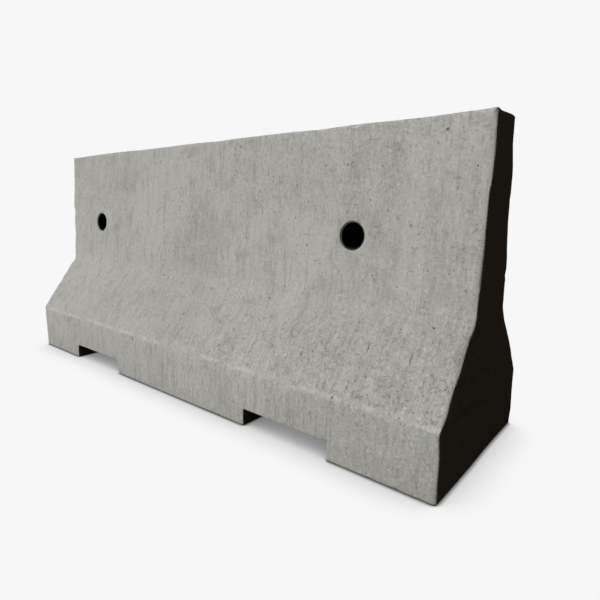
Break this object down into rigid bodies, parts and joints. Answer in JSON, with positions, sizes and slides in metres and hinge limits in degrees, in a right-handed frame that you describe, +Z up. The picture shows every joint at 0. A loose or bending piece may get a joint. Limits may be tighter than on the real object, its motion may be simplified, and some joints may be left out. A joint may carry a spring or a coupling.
{
  "type": "concrete traffic barrier",
  "caption": "Free-standing precast concrete barrier with a sloped foot, a slim tapered stem, lifting holes through the stem and forklift slots under the base.",
  "frame": {"origin": "middle of the base, on the surface that the unit stands on", "axes": "+X along the unit's length, towards the end with more room between its lifting hole and the end face; +Y across it, towards its back; +Z up"},
  "size_m": [1.83, 0.508, 0.813],
  "materials": {
    "concrete": "light grey weathered cast concrete, matt, with pinholes and fine scratches",
    "sleeve": "black pipe, matt, dusty at the rims",
    "reinforcing_steel": "ribbed hot-rolled bar with mill scale and light rust",
    "tie_wire": "black annealed wire, satin",
    "spacer": "grey moulded plastic, matt"
  },
  "bodies": {
    "root": {"base_centre_bar": "reinforcing_steel", "base_crossbar_01": "reinforcing_steel", "base_crossbar_02": "reinforcing_steel", "base_crossbar_03": "reinforcing_steel", "base_crossbar_04": "reinforcing_steel", "base_crossbar_05": "reinforcing_steel", "base_crossbar_06": "reinforcing_steel", "base_crossbar_07": "reinforcing_steel", "base_crossbar_08": "reinforcing_steel", "base_crossbar_09": "reinforcing_steel", "base_crossbar_10": "reinforcing_steel", "base_crossbar_11": "reinforcing_steel", "concrete_body": "concrete", "crown_bar": "reinforcing_steel", "lifting_bar_left": "reinforcing_steel", "lifting_bar_right": "reinforcing_steel", "lifting_bar_ties": "tie_wire", "lifting_sleeve_left": "sleeve", "lifting_sleeve_right": "sleeve", "lower_stem_bar_back": "reinforcing_steel", "lower_stem_bar_front": "reinforcing_steel", "slope_bar_back": "reinforcing_steel", "slope_bar_front": "reinforcing_steel", "slope_cover_spacers": "spacer", "stem_cover_spacers": "spacer", "stem_hairpin_01": "reinforcing_steel", "stem_hairpin_02": "reinforcing_steel", "stem_hairpin_03": "reinforcing_steel", "stem_hairpin_04": "reinforcing_steel", "stem_hairpin_05": "reinforcing_steel", "stem_hairpin_06": "reinforcing_steel", "stem_hairpin_07": "reinforcing_steel", "stem_hairpin_08": "reinforcing_steel", "stem_hairpin_09": "reinforcing_steel", "stem_hairpin_10": "reinforcing_steel", "stem_hairpin_11": "reinforcing_steel", "tie_wires_01": "tie_wire", "tie_wires_02": "tie_wire", "tie_wires_03": "tie_wire", "tie_wires_04": "tie_wire", "tie_wires_05": "tie_wire", "tie_wires_06": "tie_wire", "tie_wires_07": "tie_wire", "tie_wires_08": "tie_wire", "tie_wires_09": "tie_wire", "tie_wires_10": "tie_wire", "tie_wires_11": "tie_wire", "toe_bar_back": "reinforcing_steel", "toe_bar_front": "reinforcing_steel", "upper_stem_bar_back": "reinforcing_steel", "upper_stem_bar_front": "reinforcing_steel"}
  },
  "joints": []
}
